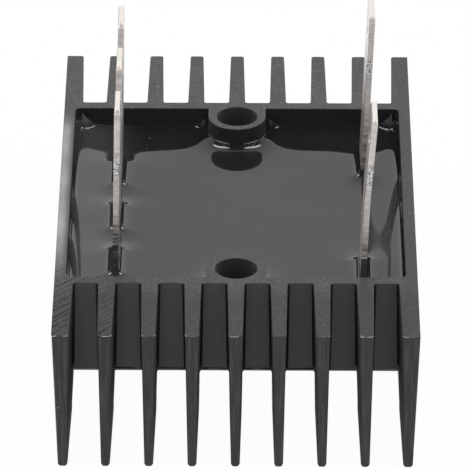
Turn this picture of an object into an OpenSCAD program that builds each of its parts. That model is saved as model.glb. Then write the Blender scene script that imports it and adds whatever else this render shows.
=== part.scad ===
// Three-phase bridge rectifier: a finned die-cast tub, potted with epoxy, with five blade terminals.
// X runs across the fins, Y runs along them and +Z is up. The fins stand on Z = 0.

/* [Casting] */
// Number of fins across the casting
fin_count = 9; // [9:2:13]
// Distance between fin centres
fin_pitch = 5.65; // [5.2:0.05:7]
// Thickness of each outer fin at the rim
side_fin_t = 2.5; // [2.4:0.1:3.5]
// Thickness of an inner fin at the rim, beside the tub
fin_root_t = 2.25; // [2:0.05:2.8]
// Thickness of an inner fin at the rim, at its free end
fin_tip_t = 1.8; // [1.4:0.05:2]
// Thickness of an inner fin at its free end, at the bottom
fin_foot_t = 1.15; // [0.9:0.05:1.35]
// How far the outer faces lean in towards the bottom
side_draft = 0.7; // [0.4:0.05:0.9]
// Reach of the fins beyond each end of the tub
fin_reach = 14.2; // [8:0.2:24]
// Height of the casting
casting_h = 19.5; // [17:0.5:28]
// Height of the tub, measured down from the rim
tub_h = 13.5; // [11:0.1:15]
// Length of the tub between its end faces
tub_len = 51.6; // [48:0.2:70]
// Thickness of the end walls at the rim
end_wall = 1.8; // [1.4:0.1:2.6]
// Thickness of the side walls at the rim
side_wall = 1.55; // [1.4:0.05:2.2]
// Thickness of the tub's floor
floor_t = 2.6; // [2:0.1:3.2]
// Radius in the upright corners of the tub
cavity_r = 0.8; // [0.4:0.1:2]
// Radius on the lower edges of the tub
tub_edge_r = 0.8; // [0.4:0.1:1.4]
// Radius on the upright corners at the fins' ends
fin_end_r = 0.4; // [0.2:0.05:0.45]
// Radius on the lower edges of the fins
fin_foot_r = 0.42; // [0.2:0.02:0.44]
// Radius where the fins meet the tub's end walls
root_r = 0.4; // [0.2:0.05:0.8]
// Radius where the fins meet the tub's underside
floor_r = 0.7; // [0.3:0.05:0.9]

/* [Fixing holes] */
// Diameter of the two fixing holes
hole_d = 5.6; // [4.4:0.1:6]
// Distance from the tub's end face to a hole's centre
hole_inset = 4.1; // [3.9:0.1:5.5]
// Wall of the boss on the potted side of its hole
boss_wall = 1.15; // [0.9:0.05:2]

/* [Potting] */
// Depth of the resin's surface below the rim
resin_drop = 3.35; // [2:0.05:4]

/* [Blade terminals] */
// Width of a blade
blade_w = 6.3; // [4.8:0.1:6.4]
// Thickness of a blade
blade_t = 0.8; // [0.6:0.1:1]
// Height of the blades above the resin
blade_h = 24.5; // [16:0.5:32]
// How far each face of a blade comes in at its coined tip
tip_in = 0.08; // [0.04:0.02:0.2]
// Length of the coined bevel at the tip
tip_bevel = 0.5; // [0.3:0.1:1.5]
// Corner cut at the tip
tip_cut = 0.5; // [0.3:0.1:1]
// Diameter of the latch hole through a blade
latch_d = 1.7; // [1.2:0.1:2]
// Distance from the tip to the centre of the latch hole
latch_drop = 4; // [3:0.1:5]
// Distance from the tip to the top of the sheared tie-bar stub
stub_drop = 7; // [6:0.1:9]
// Height of the tie-bar stub
stub_h = 2.4; // [1:0.1:3]
// How far the tie-bar stub stands out of the blade's edge
stub_out = 0.15; // [0.05:0.05:0.4]
// Length of the bent foot under the resin
foot_len = 5; // [4:0.1:5.4]
// Distance along the tub from the back boss to the positive blade
boss_clear = 1.3; // [1:0.1:3]
// Shift of the row of blades along the tub, away from its middle
blade_shift = -2; // [-2:0.5:0]
// Distance from the side wall to the alternating-current blades
ac_inset = 6.3; // [5.6:0.1:6.6]
// Distance from the side wall to the direct-current blades
dc_inset = 5.1; // [4.6:0.1:5.6]
// Inward lean of the alternating-current blades at their tips
ac_lean = 0.4; // [0:0.1:0.8]
// Outward lean of the positive blade at its tip
positive_lean = 0.95; // [0:0.05:1.2]
// Turn of the positive blade about its own upright axis, in degrees
positive_turn = 1; // [0:0.5:4]
// How far the negative blade stands nearer the middle than the positive one
negative_shift = 0.5; // [0:0.05:0.6]
// Outward lean of the negative blade at its bend
negative_lean = 0.5; // [0:0.05:1]
// Distance from the negative blade's bend to its tip
negative_bend_drop = 11.6; // [9:0.1:13]
// How much further out the negative blade leans between its bend and its tip
negative_flare = 0.85; // [0:0.05:1]

/* [Circuit under the resin] */
// Thickness of the ceramic plate
ceramic_t = 0.8; // [0.5:0.1:1.2]
// Ceramic left bare outside the blades' feet
ceramic_edge = 1; // [0.6:0.1:1.4]
// Clearance between the ceramic plate and the bosses
ceramic_gap = 0.5; // [0.3:0.1:0.8]
// Thickness of the copper pads and bus bars
copper_t = 0.6; // [0.3:0.1:0.8]
// Width of the bus bars
bus_w = 5; // [4.6:0.1:5.4]
// Width of the positive bar's arm behind the last chip
arm_w = 3.45; // [2.5:0.05:4]
// Copper left bare round a blade's foot
pad_edge = 0.3; // [0.1:0.1:0.5]
// Clear distance between the two bus bars
bus_gap = 3; // [2:0.1:3.6]
// Side of a square diode chip
chip_w = 4; // [3:0.1:4.4]
// Copper left bare round a chip at the ends of the bars and straps
chip_edge = 0.2; // [0.1:0.05:0.4]
// Thickness of a diode chip
chip_t = 0.4; // [0.3:0.05:0.6]
// Width of the straps that join the chips to the pads
strap_w = 4.8; // [4.6:0.1:5.4]
// Thickness of the straps
strap_t = 0.6; // [0.4:0.1:0.8]
// Length of a strap's landing on its pad
landing_len = 2.8; // [2.4:0.1:3]
// Clear distance between a foot and what lies beside it on the same copper
joint_gap = 0.7; // [0.6:0.1:1]

/* [Hidden] */
$fn = 48;

overlap = 0.15;
past = 1;
crease = 0.04;

body_w = (fin_count - 1) * fin_pitch + side_fin_t;
body_len = tub_len + 2 * fin_reach;
tub_bottom = casting_h - tub_h;
floor_z = tub_bottom + floor_t;
cavity_w = body_w - 2 * side_wall;
cavity_len = tub_len - 2 * end_wall;
hole_y = tub_len / 2 - hole_inset;
boss_r = hole_d / 2 + boss_wall;
resin_z = casting_h - resin_drop;
resin_t = resin_z - floor_z;

fin_x = [for (i = [0 : fin_count - 1]) (i - (fin_count - 1) / 2) * fin_pitch];
last_fin = fin_count - 1;
half_gap = fin_pitch / 2;
// How far a fin's profile goes past its centre on the side that the mirrored profile cuts
fin_cover = (half_gap + fin_root_t / 2) / 2;
draft_angle = atan((fin_tip_t - fin_foot_t) / 2 / casting_h);
taper_angle = atan((fin_root_t - fin_tip_t) / 2 / fin_reach);

ceramic_z = floor_z + ceramic_t;
copper_z = ceramic_z + copper_t;
chip_z = copper_z + chip_t;
ac_x = -(cavity_w / 2 - ac_inset);
dc_x = cavity_w / 2 - dc_inset;
positive_y = hole_y - boss_r - boss_clear - blade_w / 2;
negative_y = 2 * blade_shift - positive_y;
arm_back = positive_y + blade_w / 2 + pad_edge;
arm_y = arm_back - arm_w;
ac_back_y = arm_y - joint_gap - chip_w / 2;
ac_pitch = ac_back_y - blade_shift;
ac_y = [for (i = [0 : 2]) ac_back_y - i * ac_pitch];
chip_reach = chip_w / 2 + chip_edge;
negative_bus_x = dc_x + blade_t / 2 - foot_len - joint_gap - bus_w / 2;
positive_bus_x = negative_bus_x - bus_w - bus_gap;
landing_x = ac_x - blade_t / 2 + foot_len + joint_gap;
landing_end_x = landing_x + landing_len;
ramp_end_x = landing_end_x + 2 * chip_t;
strap_end_x = negative_bus_x + chip_reach;
ac_pad_x = ac_x - blade_t / 2 - pad_edge;
dc_pad_x = dc_x + blade_t / 2 + pad_edge;
dc_pad_len = foot_len + 2 * pad_edge;
pad_w = blade_w + 2 * pad_edge;
ceramic_w = 2 * (dc_x + blade_t / 2 + ceramic_edge);
ceramic_len = 2 * (blade_w / 2 + ceramic_edge - negative_y);
blade_top = resin_z + blade_h;

// Half of a fin's thickness at the rim, on its +X side; the last fin ends at the casting's own side
function root_half(i) = (i == 0 ? side_fin_t : fin_root_t) / 2;
function fin_side(i) = i == last_fin ? half_gap : root_half(i);

// Plan of one side of a fin, Y = 0 at the tub's end face: taper, and a round corner at the free end
module fin_plan(half) {
    corner_y = -fin_reach + fin_end_r;
    corner_x = half + crease + corner_y * tan(taper_angle) - fin_end_r / cos(taper_angle);
    polygon([
        [-fin_cover, overlap],
        [half + crease + overlap * tan(taper_angle), overlap],
        [corner_x + fin_end_r * cos(taper_angle), corner_y - fin_end_r * sin(taper_angle)],
        [corner_x, corner_y],
        [corner_x, -fin_reach],
        [-fin_cover, -fin_reach]
    ]);
    translate([corner_x, corner_y]) circle(fin_end_r);
}

// Elevation of one side of a fin, Y is height: draft, and a round corner at the bottom
module fin_elevation(half) {
    side = half - casting_h * tan(draft_angle);
    corner_x = side + fin_foot_r * tan(draft_angle) - fin_foot_r / cos(draft_angle);
    polygon([
        [-fin_cover, 0],
        [corner_x, 0],
        [corner_x, fin_foot_r],
        [corner_x + fin_foot_r * cos(draft_angle), fin_foot_r - fin_foot_r * sin(draft_angle)],
        [side + (casting_h + past) * tan(draft_angle), casting_h + past],
        [-fin_cover, casting_h + past]
    ]);
    translate([corner_x, fin_foot_r]) circle(fin_foot_r);
}

// The +X sides of the fins in front of the tub, tapered towards their ends and towards the bottom
module fin_ends_side() {
    intersection() {
        translate([0, -tub_len / 2, casting_h])
            rotate([0, draft_angle, 0])
                translate([0, 0, -casting_h - past])
                    linear_extrude(casting_h + 2 * past)
                        for (i = [0 : last_fin]) translate([fin_x[i], 0]) fin_plan(fin_side(i));
        for (i = [0 : last_fin])
            translate([fin_x[i], -tub_len / 2, 0])
                rotate([0, 0, -taper_angle])
                    rotate([90, 0, 0])
                        translate([0, 0, -overlap])
                            linear_extrude(fin_reach + overlap + past) fin_elevation(fin_side(i));
    }
}

module fin_ends() {
    intersection() {
        fin_ends_side();
        mirror([1, 0, 0]) fin_ends_side();
    }
}

// Elevation of the fins where they run on under the tub
module fins_under_side() {
    for (i = [0 : last_fin]) translate([fin_x[i], 0]) fin_elevation(fin_side(i) - crease);
}

module fins_under() {
    rotate([90, 0, 0])
        linear_extrude(tub_len, center = true)
            intersection() {
                fins_under_side();
                mirror([1, 0]) fins_under_side();
                translate([-body_w / 2, 0]) square([body_w, tub_bottom + tub_edge_r + overlap]);
            }
}

// Fills an inner corner whose walls run along +X and -Y, with some overlap into both
module corner_fillet(r) {
    difference() {
        translate([-overlap, -r]) square([r + overlap, r + overlap]);
        translate([r, -r]) circle(r);
    }
}

module root_fillets_side() {
    fillet_h = tub_h - tub_edge_r;
    translate([0, -tub_len / 2, casting_h])
        rotate([0, draft_angle, 0])
            translate([0, 0, -fillet_h])
                linear_extrude(fillet_h + past)
                    for (i = [0 : last_fin - 1])
                        translate([fin_x[i] + root_half(i) - root_r * tan(taper_angle), 0])
                            corner_fillet(root_r);
}

module floor_fillets_side() {
    drop = tub_h + floor_r;
    rotate([90, 0, 0])
        linear_extrude(tub_len - 2 * tub_edge_r, center = true)
            for (i = [0 : last_fin - 1])
                translate([fin_x[i] + root_half(i) - crease - drop * tan(draft_angle), tub_bottom])
                    corner_fillet(floor_r);
}

// Outer shape of the casting across the fins: leaning sides with rounded lower edges
module outer_profile() {
    lean = atan(side_draft / casting_h);
    corner_x = body_w / 2 - side_draft + fin_foot_r * tan(lean) - fin_foot_r / cos(lean);
    for (side = [0, 1])
        mirror([side, 0]) {
            polygon([
                [0, 0],
                [corner_x, 0],
                [corner_x, fin_foot_r],
                [corner_x + fin_foot_r * cos(lean), fin_foot_r - fin_foot_r * sin(lean)],
                [body_w / 2, casting_h],
                [0, casting_h]
            ]);
            translate([corner_x, fin_foot_r]) circle(fin_foot_r);
        }
}

// Side view of the tub: its end faces turn under at the lower edges
module tub_profile() {
    translate([-tub_len / 2, tub_bottom + tub_edge_r]) square([tub_len, tub_h - tub_edge_r + past]);
    translate([-tub_len / 2 + tub_edge_r, tub_bottom]) square([tub_len - 2 * tub_edge_r, tub_h]);
    for (side = [-1, 1])
        translate([side * (tub_len / 2 - tub_edge_r), tub_bottom + tub_edge_r]) circle(tub_edge_r);
}

module tub_block() {
    rotate([90, 0, 90]) linear_extrude(body_w + 2 * past, center = true) tub_profile();
}

module boss_plan(r) {
    for (side = [0, 1])
        mirror([0, side]) {
            translate([0, hole_y]) circle(r);
            translate([-r, hole_y]) square([2 * r, tub_len / 2 - hole_y]);
        }
}

// Plan of the space that the resin fills
module cavity_plan() {
    inner_w = cavity_w - 2 * cavity_r;
    inner_len = cavity_len - 2 * cavity_r;
    difference() {
        union() {
            square([inner_w, cavity_len], center = true);
            square([cavity_w, inner_len], center = true);
            for (x = [-1, 1], y = [-1, 1])
                translate([x * inner_w / 2, y * inner_len / 2]) circle(cavity_r);
        }
        boss_plan(boss_r);
    }
}

module fixing_holes() {
    for (side = [-1, 1])
        translate([0, side * hole_y, -past]) cylinder(d = hole_d, h = casting_h + 2 * past);
}

// Die-cast tub with its fins and the two hollow bosses
module housing() {
    color("dimgray")
        difference() {
            intersection() {
                rotate([90, 0, 0]) linear_extrude(body_len + 2 * past, center = true) outer_profile();
                union() {
                    tub_block();
                    fins_under();
                    for (end = [0, 1]) mirror([0, end, 0]) fin_ends();
                    for (end = [0, 1], side = [0, 1])
                        mirror([0, end, 0]) mirror([side, 0, 0]) root_fillets_side();
                    for (side = [0, 1]) mirror([side, 0, 0]) floor_fillets_side();
                }
            }
            translate([0, 0, floor_z]) linear_extrude(casting_h) cavity_plan();
            fixing_holes();
        }
}

// Ceramic plate on the tub's floor, notched round the bosses
module ceramic_plate() {
    color("white")
        translate([0, 0, floor_z])
            linear_extrude(ceramic_t)
                difference() {
                    square([ceramic_w, ceramic_len], center = true);
                    boss_plan(boss_r + ceramic_gap);
                }
}

module copper_bar(x_from, x_to, y_from, y_to) {
    translate([x_from, y_from, ceramic_z]) cube([x_to - x_from, y_to - y_from, copper_t]);
}

// Pad that joins an alternating-current blade to its strap
module ac_pad(i) {
    color("peru")
        copper_bar(ac_pad_x, landing_end_x + pad_edge, ac_y[i] - pad_w / 2, ac_y[i] + pad_w / 2);
}

module ac_pad_1() { ac_pad(0); }
module ac_pad_2() { ac_pad(1); }
module ac_pad_3() { ac_pad(2); }

// Bar under the three positive chips, with an arm round to the positive blade
module positive_bus() {
    color("peru") {
        left = positive_bus_x - bus_w / 2;
        copper_bar(left, left + bus_w, ac_y[2] - chip_reach, arm_back);
        copper_bar(left, dc_pad_x, arm_y, arm_back);
        copper_bar(dc_pad_x - dc_pad_len, dc_pad_x, arm_back - pad_w, arm_back);
    }
}

// Bar under the three negative chips, widened under the negative blade
module negative_bus() {
    color("peru") {
        left = negative_bus_x - bus_w / 2;
        front = negative_y - pad_w / 2;
        copper_bar(left, left + bus_w, front, ac_y[0] + chip_reach);
        copper_bar(left, dc_pad_x, front, front + pad_w);
    }
}

// Diode chip between a bus bar and the strap that crosses it
module diode(x, i) {
    color("gray")
        translate([x - chip_w / 2, ac_y[i] - chip_w / 2, copper_z]) cube([chip_w, chip_w, chip_t]);
}

module positive_diode_1() { diode(positive_bus_x, 0); }
module positive_diode_2() { diode(positive_bus_x, 1); }
module positive_diode_3() { diode(positive_bus_x, 2); }
module negative_diode_1() { diode(negative_bus_x, 0); }
module negative_diode_2() { diode(negative_bus_x, 1); }
module negative_diode_3() { diode(negative_bus_x, 2); }

// Strap from a pad up and over its two chips
module ac_strap(i) {
    color("sandybrown")
        translate([0, ac_y[i], 0])
            rotate([90, 0, 0])
                linear_extrude(strap_w, center = true)
                    polygon([
                        [landing_x, copper_z],
                        [landing_end_x, copper_z],
                        [ramp_end_x, chip_z],
                        [strap_end_x, chip_z],
                        [strap_end_x, chip_z + strap_t],
                        [ramp_end_x, chip_z + strap_t],
                        [landing_end_x, copper_z + strap_t],
                        [landing_x, copper_z + strap_t]
                    ]);
}

module ac_strap_1() { ac_strap(0); }
module ac_strap_2() { ac_strap(1); }
module ac_strap_3() { ac_strap(2); }

// Edge view of a blade, foot towards -X: bent foot, leaning shank and coined tip
module blade_edge_view(bend_x, bend_z, tip_x) {
    half = blade_t / 2;
    neck_z = blade_top - tip_bevel;
    neck_x = tip_x + (bend_x - tip_x) * tip_bevel / (blade_top - bend_z);
    foot_r = blade_t;
    translate([half - foot_len, copper_z]) square([foot_len - foot_r, blade_t]);
    translate([half - foot_r, copper_z + foot_r]) intersection() {
        circle(foot_r);
        translate([0, -foot_r]) square(foot_r);
    }
    polygon([
        [-half, copper_z + foot_r],
        [half, copper_z + foot_r],
        [half, resin_z],
        [bend_x + half, bend_z],
        [neck_x + half, neck_z],
        [tip_x + half - tip_in, blade_top],
        [tip_x - half + tip_in, blade_top],
        [neck_x - half, neck_z],
        [bend_x - half, bend_z],
        [-half, resin_z]
    ]);
}

// Face view of a blade: cut tip corners, and the stubs of the tie bar on both edges
module blade_face_view() {
    half = blade_w / 2;
    polygon([
        [-half, copper_z],
        [half, copper_z],
        [half, blade_top - tip_cut],
        [half - tip_cut, blade_top],
        [tip_cut - half, blade_top],
        [-half, blade_top - tip_cut]
    ]);
    translate([-half - stub_out, blade_top - stub_drop - stub_h])
        square([blade_w + 2 * stub_out, stub_h]);
}

module blade(bend_x, bend_z, tip_x) {
    reach = foot_len + blade_w;
    difference() {
        intersection() {
            rotate([90, 0, 0])
                linear_extrude(blade_w + 2 * stub_out + past, center = true)
                    blade_edge_view(bend_x, bend_z, tip_x);
            rotate([90, 0, 90]) linear_extrude(2 * reach, center = true) blade_face_view();
        }
        translate([-reach, 0, blade_top - latch_drop]) rotate([0, 90, 0]) cylinder(d = latch_d, h = 2 * reach);
    }
}

module ac_terminal(i) {
    half_way = (resin_z + blade_top) / 2;
    color("gainsboro")
        translate([ac_x, ac_y[i], 0]) mirror([1, 0, 0]) blade(-ac_lean / 2, half_way, -ac_lean);
}

module ac_terminal_1() { ac_terminal(0); }
module ac_terminal_2() { ac_terminal(1); }
module ac_terminal_3() { ac_terminal(2); }

module positive_terminal() {
    half_way = (resin_z + blade_top) / 2;
    color("gainsboro")
        translate([dc_x, positive_y, 0])
            rotate([0, 0, positive_turn]) blade(positive_lean / 2, half_way, positive_lean);
}

module negative_terminal() {
    color("gainsboro")
        translate([dc_x - negative_shift, negative_y, 0])
            blade(negative_lean, blade_top - negative_bend_drop, negative_lean + negative_flare);
}

// Cast resin that fills the tub round the circuit, up to its level below the rim
module potting_resin() {
    color("black")
        difference() {
            translate([0, 0, floor_z]) linear_extrude(resin_t) cavity_plan();
            ceramic_plate();
            for (i = [0 : 2]) {
                ac_pad(i);
                diode(positive_bus_x, i);
                diode(negative_bus_x, i);
                ac_strap(i);
                ac_terminal(i);
            }
            positive_bus();
            negative_bus();
            positive_terminal();
            negative_terminal();
        }
}

housing();
potting_resin();
ceramic_plate();
ac_pad_1();
ac_pad_2();
ac_pad_3();
positive_bus();
negative_bus();
positive_diode_1();
positive_diode_2();
positive_diode_3();
negative_diode_1();
negative_diode_2();
negative_diode_3();
ac_strap_1();
ac_strap_2();
ac_strap_3();
ac_terminal_1();
ac_terminal_2();
ac_terminal_3();
positive_terminal();
negative_terminal();
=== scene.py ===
"""Dresses the potted three-phase bridge rectifier: casting, resin, blades, buried circuit and stage."""
import math

import bmesh
import bpy
import numpy as np
from bpy.props import FloatProperty, FloatVectorProperty, IntProperty, PointerProperty
from mathutils import Matrix, Vector, geometry


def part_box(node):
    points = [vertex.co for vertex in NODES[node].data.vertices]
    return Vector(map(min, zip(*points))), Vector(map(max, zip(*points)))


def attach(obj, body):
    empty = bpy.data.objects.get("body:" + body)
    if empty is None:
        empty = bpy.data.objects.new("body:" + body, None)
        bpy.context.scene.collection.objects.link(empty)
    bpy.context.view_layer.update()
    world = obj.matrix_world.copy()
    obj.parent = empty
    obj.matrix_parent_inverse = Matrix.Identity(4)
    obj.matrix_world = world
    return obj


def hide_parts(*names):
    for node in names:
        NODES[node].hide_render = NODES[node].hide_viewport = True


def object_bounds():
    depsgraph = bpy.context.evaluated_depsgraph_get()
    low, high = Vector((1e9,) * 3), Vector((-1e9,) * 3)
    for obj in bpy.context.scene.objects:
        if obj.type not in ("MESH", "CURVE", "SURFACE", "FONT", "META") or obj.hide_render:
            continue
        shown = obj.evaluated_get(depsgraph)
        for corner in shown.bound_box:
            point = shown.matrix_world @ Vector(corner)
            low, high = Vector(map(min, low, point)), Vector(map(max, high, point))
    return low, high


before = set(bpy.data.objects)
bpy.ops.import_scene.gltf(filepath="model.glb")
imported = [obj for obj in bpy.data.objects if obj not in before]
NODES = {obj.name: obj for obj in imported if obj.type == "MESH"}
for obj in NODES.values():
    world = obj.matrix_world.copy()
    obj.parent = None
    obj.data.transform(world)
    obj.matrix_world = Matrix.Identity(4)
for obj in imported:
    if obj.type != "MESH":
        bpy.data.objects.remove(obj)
CAD_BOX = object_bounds()
MM = 0.001

bl_info = {
    "name": "Potted bridge rectifier",
    "version": (1, 0, 0),
    "blender": (4, 5, 0),
    "location": "3D View > Sidebar > Rectifier",
    "description": "Finishes for a potted three-phase bridge rectifier in a finned casting",
    "category": "Object",
}

RIM_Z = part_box("housing")[1][2]
BASE_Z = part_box("housing")[0][2]
END_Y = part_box("housing")[1][1]
RESIN_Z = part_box("potting_resin")[1][2]
TIP_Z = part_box("ac_terminal_1")[1][2]
HOLE_Y = 21.7 * MM
STUB_Z = TIP_Z - 7.0 * MM
STUB_H = 2.4 * MM

# colours of cured resin at the foot of a blade, of painted shade on its edges and on its faces turned to the
# side walls, and of a painted sheen and painted light on two parts of the casting
FILM = (0.080, 0.077, 0.078, 1.0)
EDGE_SHADE = (0.055, 0.050, 0.047, 1.0)
SHADED_SIDE = (0.11, 0.10, 0.092, 1.0)
PAINTED_SHEEN = (0.36, 0.36, 0.365, 1.0)
TUB_END_PAINTED_LIGHT = (0.066, 0.068, 0.080, 1.0)

BLADES = (
    "ac_terminal_1",
    "ac_terminal_2",
    "ac_terminal_3",
    "positive_terminal",
    "negative_terminal",
)


# ---------------------------------------------------------------- sizes and colours


def size(name, description, millimetres, low=0.0, high=100.0):
    """A length that a user may change, kept in metres."""
    return FloatProperty(
        name=name,
        description=description,
        default=millimetres * MM,
        min=low * MM,
        max=high * MM,
        precision=5,
        unit="LENGTH",
        subtype="DISTANCE",
    )


def colour(name, description, value):
    """A linear colour that a user may change."""
    return FloatVectorProperty(
        name=name,
        description=description,
        default=value,
        min=0.0,
        max=1.0,
        size=3,
        subtype="COLOR",
    )


def share(name, description, value):
    """A plain number from 0 to 1."""
    return FloatProperty(
        name=name, description=description, default=value, min=0.0, max=1.0, subtype="FACTOR"
    )


class CastingLook(bpy.types.PropertyGroup):
    """Sizes and colours of the finned casting"""

    edge_radius: size("Edge radius", "Rounding worn onto every outer edge", 0.10, 0.01, 0.4)
    nick_depth: size("Nick depth", "Depth of the knocks along the rim's edges", 0.10, 0.0, 0.5)
    nick_length: size("Nick length", "Usual length of a small knock", 0.5, 0.1, 3.0)
    saw_pitch: size("Cutter pitch", "Usual distance between the cutter's arcs on the rim", 0.92, 0.1, 3.0)
    stain: colour("Stain", "Black stain of the cast faces", (0.0182, 0.0184, 0.0232))
    milled: colour("Milled rim", "Grey of the milled upper face", (0.034, 0.034, 0.0355))
    drilled: colour("Drilled holes", "Grey of the walls of the two mounting holes", (0.062, 0.062, 0.066))
    bare: colour("Bare metal", "Metal that shows in knocks", (0.62, 0.62, 0.63))
    seed: IntProperty(name="Seed", description="Changes the small knocks", default=7, min=0, max=999)


class ResinLook(bpy.types.PropertyGroup):
    """Sizes and colours of the potting resin"""

    steep_rise: size("Steep rise", "How far the resin climbs a boss close by", 0.70, 0.0, 1.5)
    creep: size("Creep", "Distance over which the steep rise dies away", 0.45, 0.1, 3.0)
    slow_rise: size("Slow rise", "How far it climbs a boss from further off", 0.95, 0.0, 1.5)
    reach: size("Reach", "Distance over which the slow rise dies away", 1.6, 0.5, 12.0)
    corner_rise: size("Rise in corners", "How much further the resin climbs upright corners", 0.72, 0.0, 2.0)
    corner_reach: size("Corner reach", "Distance over which the corner rise dies away", 1.8, 0.2, 4.0)
    wave_height: size("Wave height", "Unevenness of the level", 0.05, 0.0, 0.3)
    wave_length: size("Wave length", "Usual length of the unevenness", 13.0, 1.0, 40.0)
    colour: colour("Resin", "Colour of the resin", (0.0130, 0.0130, 0.0155))
    seed: IntProperty(name="Seed", description="Changes the unevenness", default=3, min=0, max=999)


class BladeLook(bpy.types.PropertyGroup):
    """Sizes and colours of the blade terminals"""

    edge_radius: size("Edge radius", "Rounding on the sheared edges", 0.05, 0.01, 0.2)
    shear_pitch: size("Shear pitch", "Distance between the marks of the shear", 0.13, 0.02, 1.0)
    tin: colour("Tin", "Colour of the tinned faces", (0.86, 0.81, 0.775))
    bruise: colour("Dull tin", "Colour where the tin is thin and dull", (0.27, 0.245, 0.23))


class CircuitLook(bpy.types.PropertyGroup):
    """Colours of the circuit under the resin"""

    copper: colour("Copper", "Rolled copper of the bars, pads and straps", (0.72, 0.36, 0.22))
    ceramic: colour("Ceramic", "Fired alumina", (0.82, 0.81, 0.77))
    silicon: colour("Silicon", "Lapped and metallised chips", (0.16, 0.17, 0.20))


class StageLook(bpy.types.PropertyGroup):
    """The floor, the light and the camera"""

    floor: colour("Floor", "Colour of the floor", (0.88, 0.88, 0.88))
    sky: share("Sky level", "Level of the even light all round", 0.45)
    ceiling: share("Ceiling level", "What a gloss shows of the room's dark ceiling", 0.10)
    lamp: FloatProperty(name="Lamp power", description="Power of each lamp", default=3.0, unit="POWER")
    lens: FloatProperty(name="Lens", description="Focal length", default=468.6, unit="CAMERA")
    height: FloatProperty(
        name="Elevation",
        description="How far the camera looks down",
        default=math.radians(28.534),
        subtype="ANGLE",
        unit="ROTATION",
    )
    turn: FloatProperty(
        name="Turn",
        description="How far the camera goes round",
        default=math.radians(-0.0932),
        subtype="ANGLE",
        unit="ROTATION",
    )
    roll: FloatProperty(
        name="Roll",
        description="How far the camera tips",
        default=math.radians(-0.1745),
        subtype="ANGLE",
        unit="ROTATION",
    )
    distance: size("Distance", "From the camera to the aim point", 828.63, 100.0, 3000.0)
    aim_height: size("Aim height", "Height of the aim point", 10.0, 0.0, 100.0)
    aside: size("Aside", "How far right the object sits", 0.1967, -50.0, 50.0)
    above: size("Above", "How far up the object sits", -2.3449, -50.0, 50.0)


# ---------------------------------------------------------------- node trees


def add(tree, kind, inputs=None, **settings):
    """Adds a node, sets its options, then its inputs: sockets are joined and values are set."""
    item = tree.nodes.new(kind)
    for name, value in settings.items():
        setattr(item, name, value)
    for key, value in (inputs or {}).items():
        if isinstance(value, bpy.types.NodeSocket):
            tree.links.new(value, item.inputs[key])
        else:
            item.inputs[key].default_value = value
    return item


def sums(tree, operation, first, second=0.0, third=0.0):
    """One step of arithmetic."""
    inputs = {0: first, 1: second, 2: third}
    return add(tree, "ShaderNodeMath", inputs, operation=operation).outputs[0]


def ramp(tree, value, start, end, low=0.0, high=1.0, smooth=True):
    """Takes value from start..end to low..high, and stops at both."""
    kind = "SMOOTHSTEP" if smooth else "LINEAR"
    inputs = {"Value": value, "From Min": start, "From Max": end, "To Min": low, "To Max": high}
    return add(tree, "ShaderNodeMapRange", inputs, interpolation_type=kind).outputs["Result"]


def blend(tree, factor, first, second, mode="MIX"):
    """Mixes two colours."""
    item = add(tree, "ShaderNodeMix", data_type="RGBA", blend_type=mode)
    for key, value in ((0, factor), (6, first), (7, second)):
        if isinstance(value, bpy.types.NodeSocket):
            tree.links.new(value, item.inputs[key])
        else:
            item.inputs[key].default_value = value
    return item.outputs[2]


def rgba(value):
    """A colour with an alpha of 1."""
    return (value[0], value[1], value[2], 1.0)


def noise(tree, vector, scale, detail=3.0, roughness=0.5):
    """Noise from 0 to 1 at so many lumps a metre."""
    inputs = {"Vector": vector, "Scale": scale, "Detail": detail, "Roughness": roughness}
    return add(tree, "ShaderNodeTexNoise", inputs).outputs[0]


def times(tree, first, *others):
    """Multiplies two or more values."""
    for other in others:
        first = sums(tree, "MULTIPLY", first, other)
    return first


def mix(tree, factor, first, second):
    """Mixes two values."""
    return add(tree, "ShaderNodeMix", {0: factor, 2: first, 3: second}).outputs[0]


def size_of(tree, value):
    """A value without its sign."""
    return sums(tree, "ABSOLUTE", value)


def shade(value, factor):
    """A colour made so many times lighter or darker, with an alpha of 1."""
    return rgba([min(1.0, part * factor) for part in value])


def stretch(tree, vector, x, y, z):
    """Scales a vector along each axis."""
    inputs = {0: vector, 1: (x, y, z)}
    return add(tree, "ShaderNodeVectorMath", inputs, operation="MULTIPLY").outputs[0]


def place(tree):
    """Object coordinates, as a vector and as X, Y and Z."""
    spot = add(tree, "ShaderNodeTexCoord").outputs["Object"]
    parts = add(tree, "ShaderNodeSeparateXYZ", {0: spot}).outputs
    return spot, parts[0], parts[1], parts[2]


def facing(tree):
    """The surface's own direction as X, Y and Z."""
    normal = add(tree, "ShaderNodeTexCoord").outputs["Normal"]
    parts = add(tree, "ShaderNodeSeparateXYZ", {0: normal}).outputs
    return parts[0], parts[1], parts[2]


def new_group(name, inputs, outputs):
    """An empty shader node group with its sockets."""
    tree = bpy.data.node_groups.new(name, "ShaderNodeTree")
    for label, value in inputs:
        socket = tree.interface.new_socket(label, in_out="INPUT", socket_type="NodeSocketFloat")
        socket.default_value = value
    for label in outputs:
        tree.interface.new_socket(label, in_out="OUTPUT", socket_type="NodeSocketFloat")
    return tree, tree.nodes.new("NodeGroupInput").outputs, tree.nodes.new("NodeGroupOutput")


def effect(tree, name, **inputs):
    """Places a finished group in a material with its own values."""
    item = add(tree, "ShaderNodeGroup", node_tree=bpy.data.node_groups[name])
    for label, value in inputs.items():
        socket = item.inputs[label.replace("_", " ")]
        if isinstance(value, bpy.types.NodeSocket):
            tree.links.new(value, socket)
        else:
            socket.default_value = value
    return item.outputs


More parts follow.
